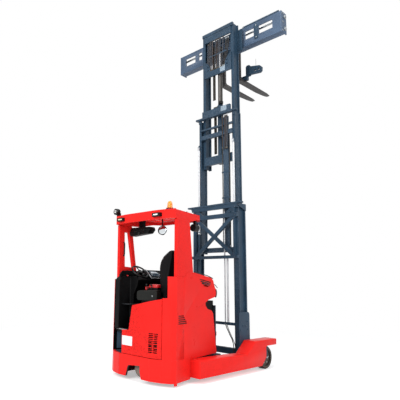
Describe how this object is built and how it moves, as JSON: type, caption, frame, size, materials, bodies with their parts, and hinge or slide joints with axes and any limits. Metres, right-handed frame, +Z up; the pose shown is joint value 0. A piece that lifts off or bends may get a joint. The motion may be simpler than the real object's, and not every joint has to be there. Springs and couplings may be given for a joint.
{
  "type": "four-way reach truck",
  "caption": "Sideways-seated reach truck with a nested telescopic mast raised on legs with steered load wheels, and a wide sliding-fork frame.",
  "frame": {"origin": "on the floor, under the middle of the truck's box", "axes": "+Y the way the forks point, +X the truck's right, +Z up"},
  "size_m": [2.34, 3.43, 6.004],
  "materials": {
    "red": "bright red gloss paint",
    "steel": "dark blue-grey paint on rolled and cut steel",
    "black": "black moulded plastic and vinyl",
    "rubber": "black solid tyre",
    "tread": "pale polyurethane tread",
    "chrome": "hard chromed piston rod",
    "grey": "grey paint",
    "amber": "amber clear plastic",
    "lamp": "clear lamp plastic"
  },
  "bodies": {
    "chassis": {"armrest": "black", "base_frame": "steel", "battery": "steel", "beacon": "amber", "cab_fan": "black", "cab_floor": "black", "cab_mirror": "black", "cab_wall": "black", "dash_console": "black", "horn": "black", "left_cover": "red", "left_leg": "red", "left_post": "red", "overhead_guard": "red", "power_hood": "black", "reach_barrel": "steel", "rear_lamp_left": "lamp", "rear_lamp_right": "lamp", "rear_skirt": "red", "right_cover": "red", "right_leg": "red", "right_pillar": "red", "seat_back": "black", "seat_base": "black", "seat_cushion": "black", "steering_wheel": "black", "work_light": "black"},
    "service_door": {"service_door": "red"},
    "drive_unit": {"drive_unit": "steel"},
    "drive_wheel": {"drive_wheel": "tread"},
    "right_yoke": {"right_yoke": "steel"},
    "right_load_wheel": {"right_load_wheel": "rubber"},
    "left_yoke": {"left_yoke": "steel"},
    "left_load_wheel": {"left_load_wheel": "rubber"},
    "reach_carriage": {"reach_carriage": "steel", "reach_rod": "chrome", "outer_mast": "steel", "mast_brace": "steel"},
    "middle_mast": {"middle_mast": "steel"},
    "inner_mast": {"inner_mast": "steel"},
    "free_lift": {"free_lift_rod": "grey"},
    "lift_carriage": {"lift_carriage": "steel"},
    "fork_frame": {"fork_frame": "steel", "positioner_cylinder": "steel"},
    "fork_right": {"fork_right": "steel"},
    "fork_left": {"fork_left": "steel"}
  },
  "joints": [
    {"name": "service_door", "type": "hinge", "parent": "chassis", "child": "service_door", "pos_m": [0.457, -1.6598, 0.7], "axis": [0, 0, 1], "range_deg": [0, 100]},
    {"name": "drive_steer", "type": "hinge", "parent": "chassis", "child": "drive_unit", "pos_m": [-0.04, -1.435, 0.16], "axis": [0, 0, 1], "range_deg": [-90, 90]},
    {"name": "drive_spin", "type": "hinge", "parent": "drive_unit", "child": "drive_wheel", "pos_m": [-0.04, -1.435, 0.16], "axis": [1, 0, 0], "continuous": true},
    {"name": "right_steer", "type": "hinge", "parent": "chassis", "child": "right_yoke", "pos_m": [0.595, 0.525, 0.175], "axis": [0, 0, -1], "range_deg": [0, 90]},
    {"name": "right_spin", "type": "hinge", "parent": "right_yoke", "child": "right_load_wheel", "pos_m": [0.595, 0.525, 0.175], "axis": [1, 0, 0], "continuous": true},
    {"name": "left_steer", "type": "hinge", "parent": "chassis", "child": "left_yoke", "pos_m": [-0.595, 0.525, 0.175], "axis": [0, 0, 1], "range_deg": [0, 90]},
    {"name": "left_spin", "type": "hinge", "parent": "left_yoke", "child": "left_load_wheel", "pos_m": [-0.595, 0.525, 0.175], "axis": [1, 0, 0], "continuous": true},
    {"name": "mast_reach", "type": "slide", "parent": "chassis", "child": "reach_carriage", "axis": [0, 1, 0], "range_m": [-0.42, 0.06]},
    {"name": "middle_lift", "type": "slide", "parent": "reach_carriage", "child": "middle_mast", "axis": [0, 0, 1], "range_m": [-1.48, 0]},
    {"name": "inner_lift", "type": "slide", "parent": "middle_mast", "child": "inner_mast", "axis": [0, 0, 1], "range_m": [-1.48, 0]},
    {"name": "carriage_lift", "type": "slide", "parent": "inner_mast", "child": "lift_carriage", "axis": [0, 0, 1], "range_m": [-2.04, 0]},
    {"name": "free_lift", "type": "slide", "parent": "inner_mast", "child": "free_lift", "axis": [0, 0, 1], "range_m": [-1.02, 0]},
    {"name": "fork_tilt", "type": "hinge", "parent": "lift_carriage", "child": "fork_frame", "pos_m": [0, 0.461, 5.62], "axis": [1, 0, 0], "range_deg": [-2, 3]},
    {"name": "fork_right_slide", "type": "slide", "parent": "fork_frame", "child": "fork_right", "axis": [1, 0, 0], "range_m": [-0.09, 0.85]},
    {"name": "fork_left_slide", "type": "slide", "parent": "fork_frame", "child": "fork_left", "axis": [-1, 0, 0], "range_m": [-0.05, 0.82]}
  ],
  "couplings": [
    {"joint": "inner_lift", "follows": "middle_lift", "ratio": 1},
    {"joint": "free_lift", "follows": "carriage_lift", "ratio": 0.5}
  ]
}
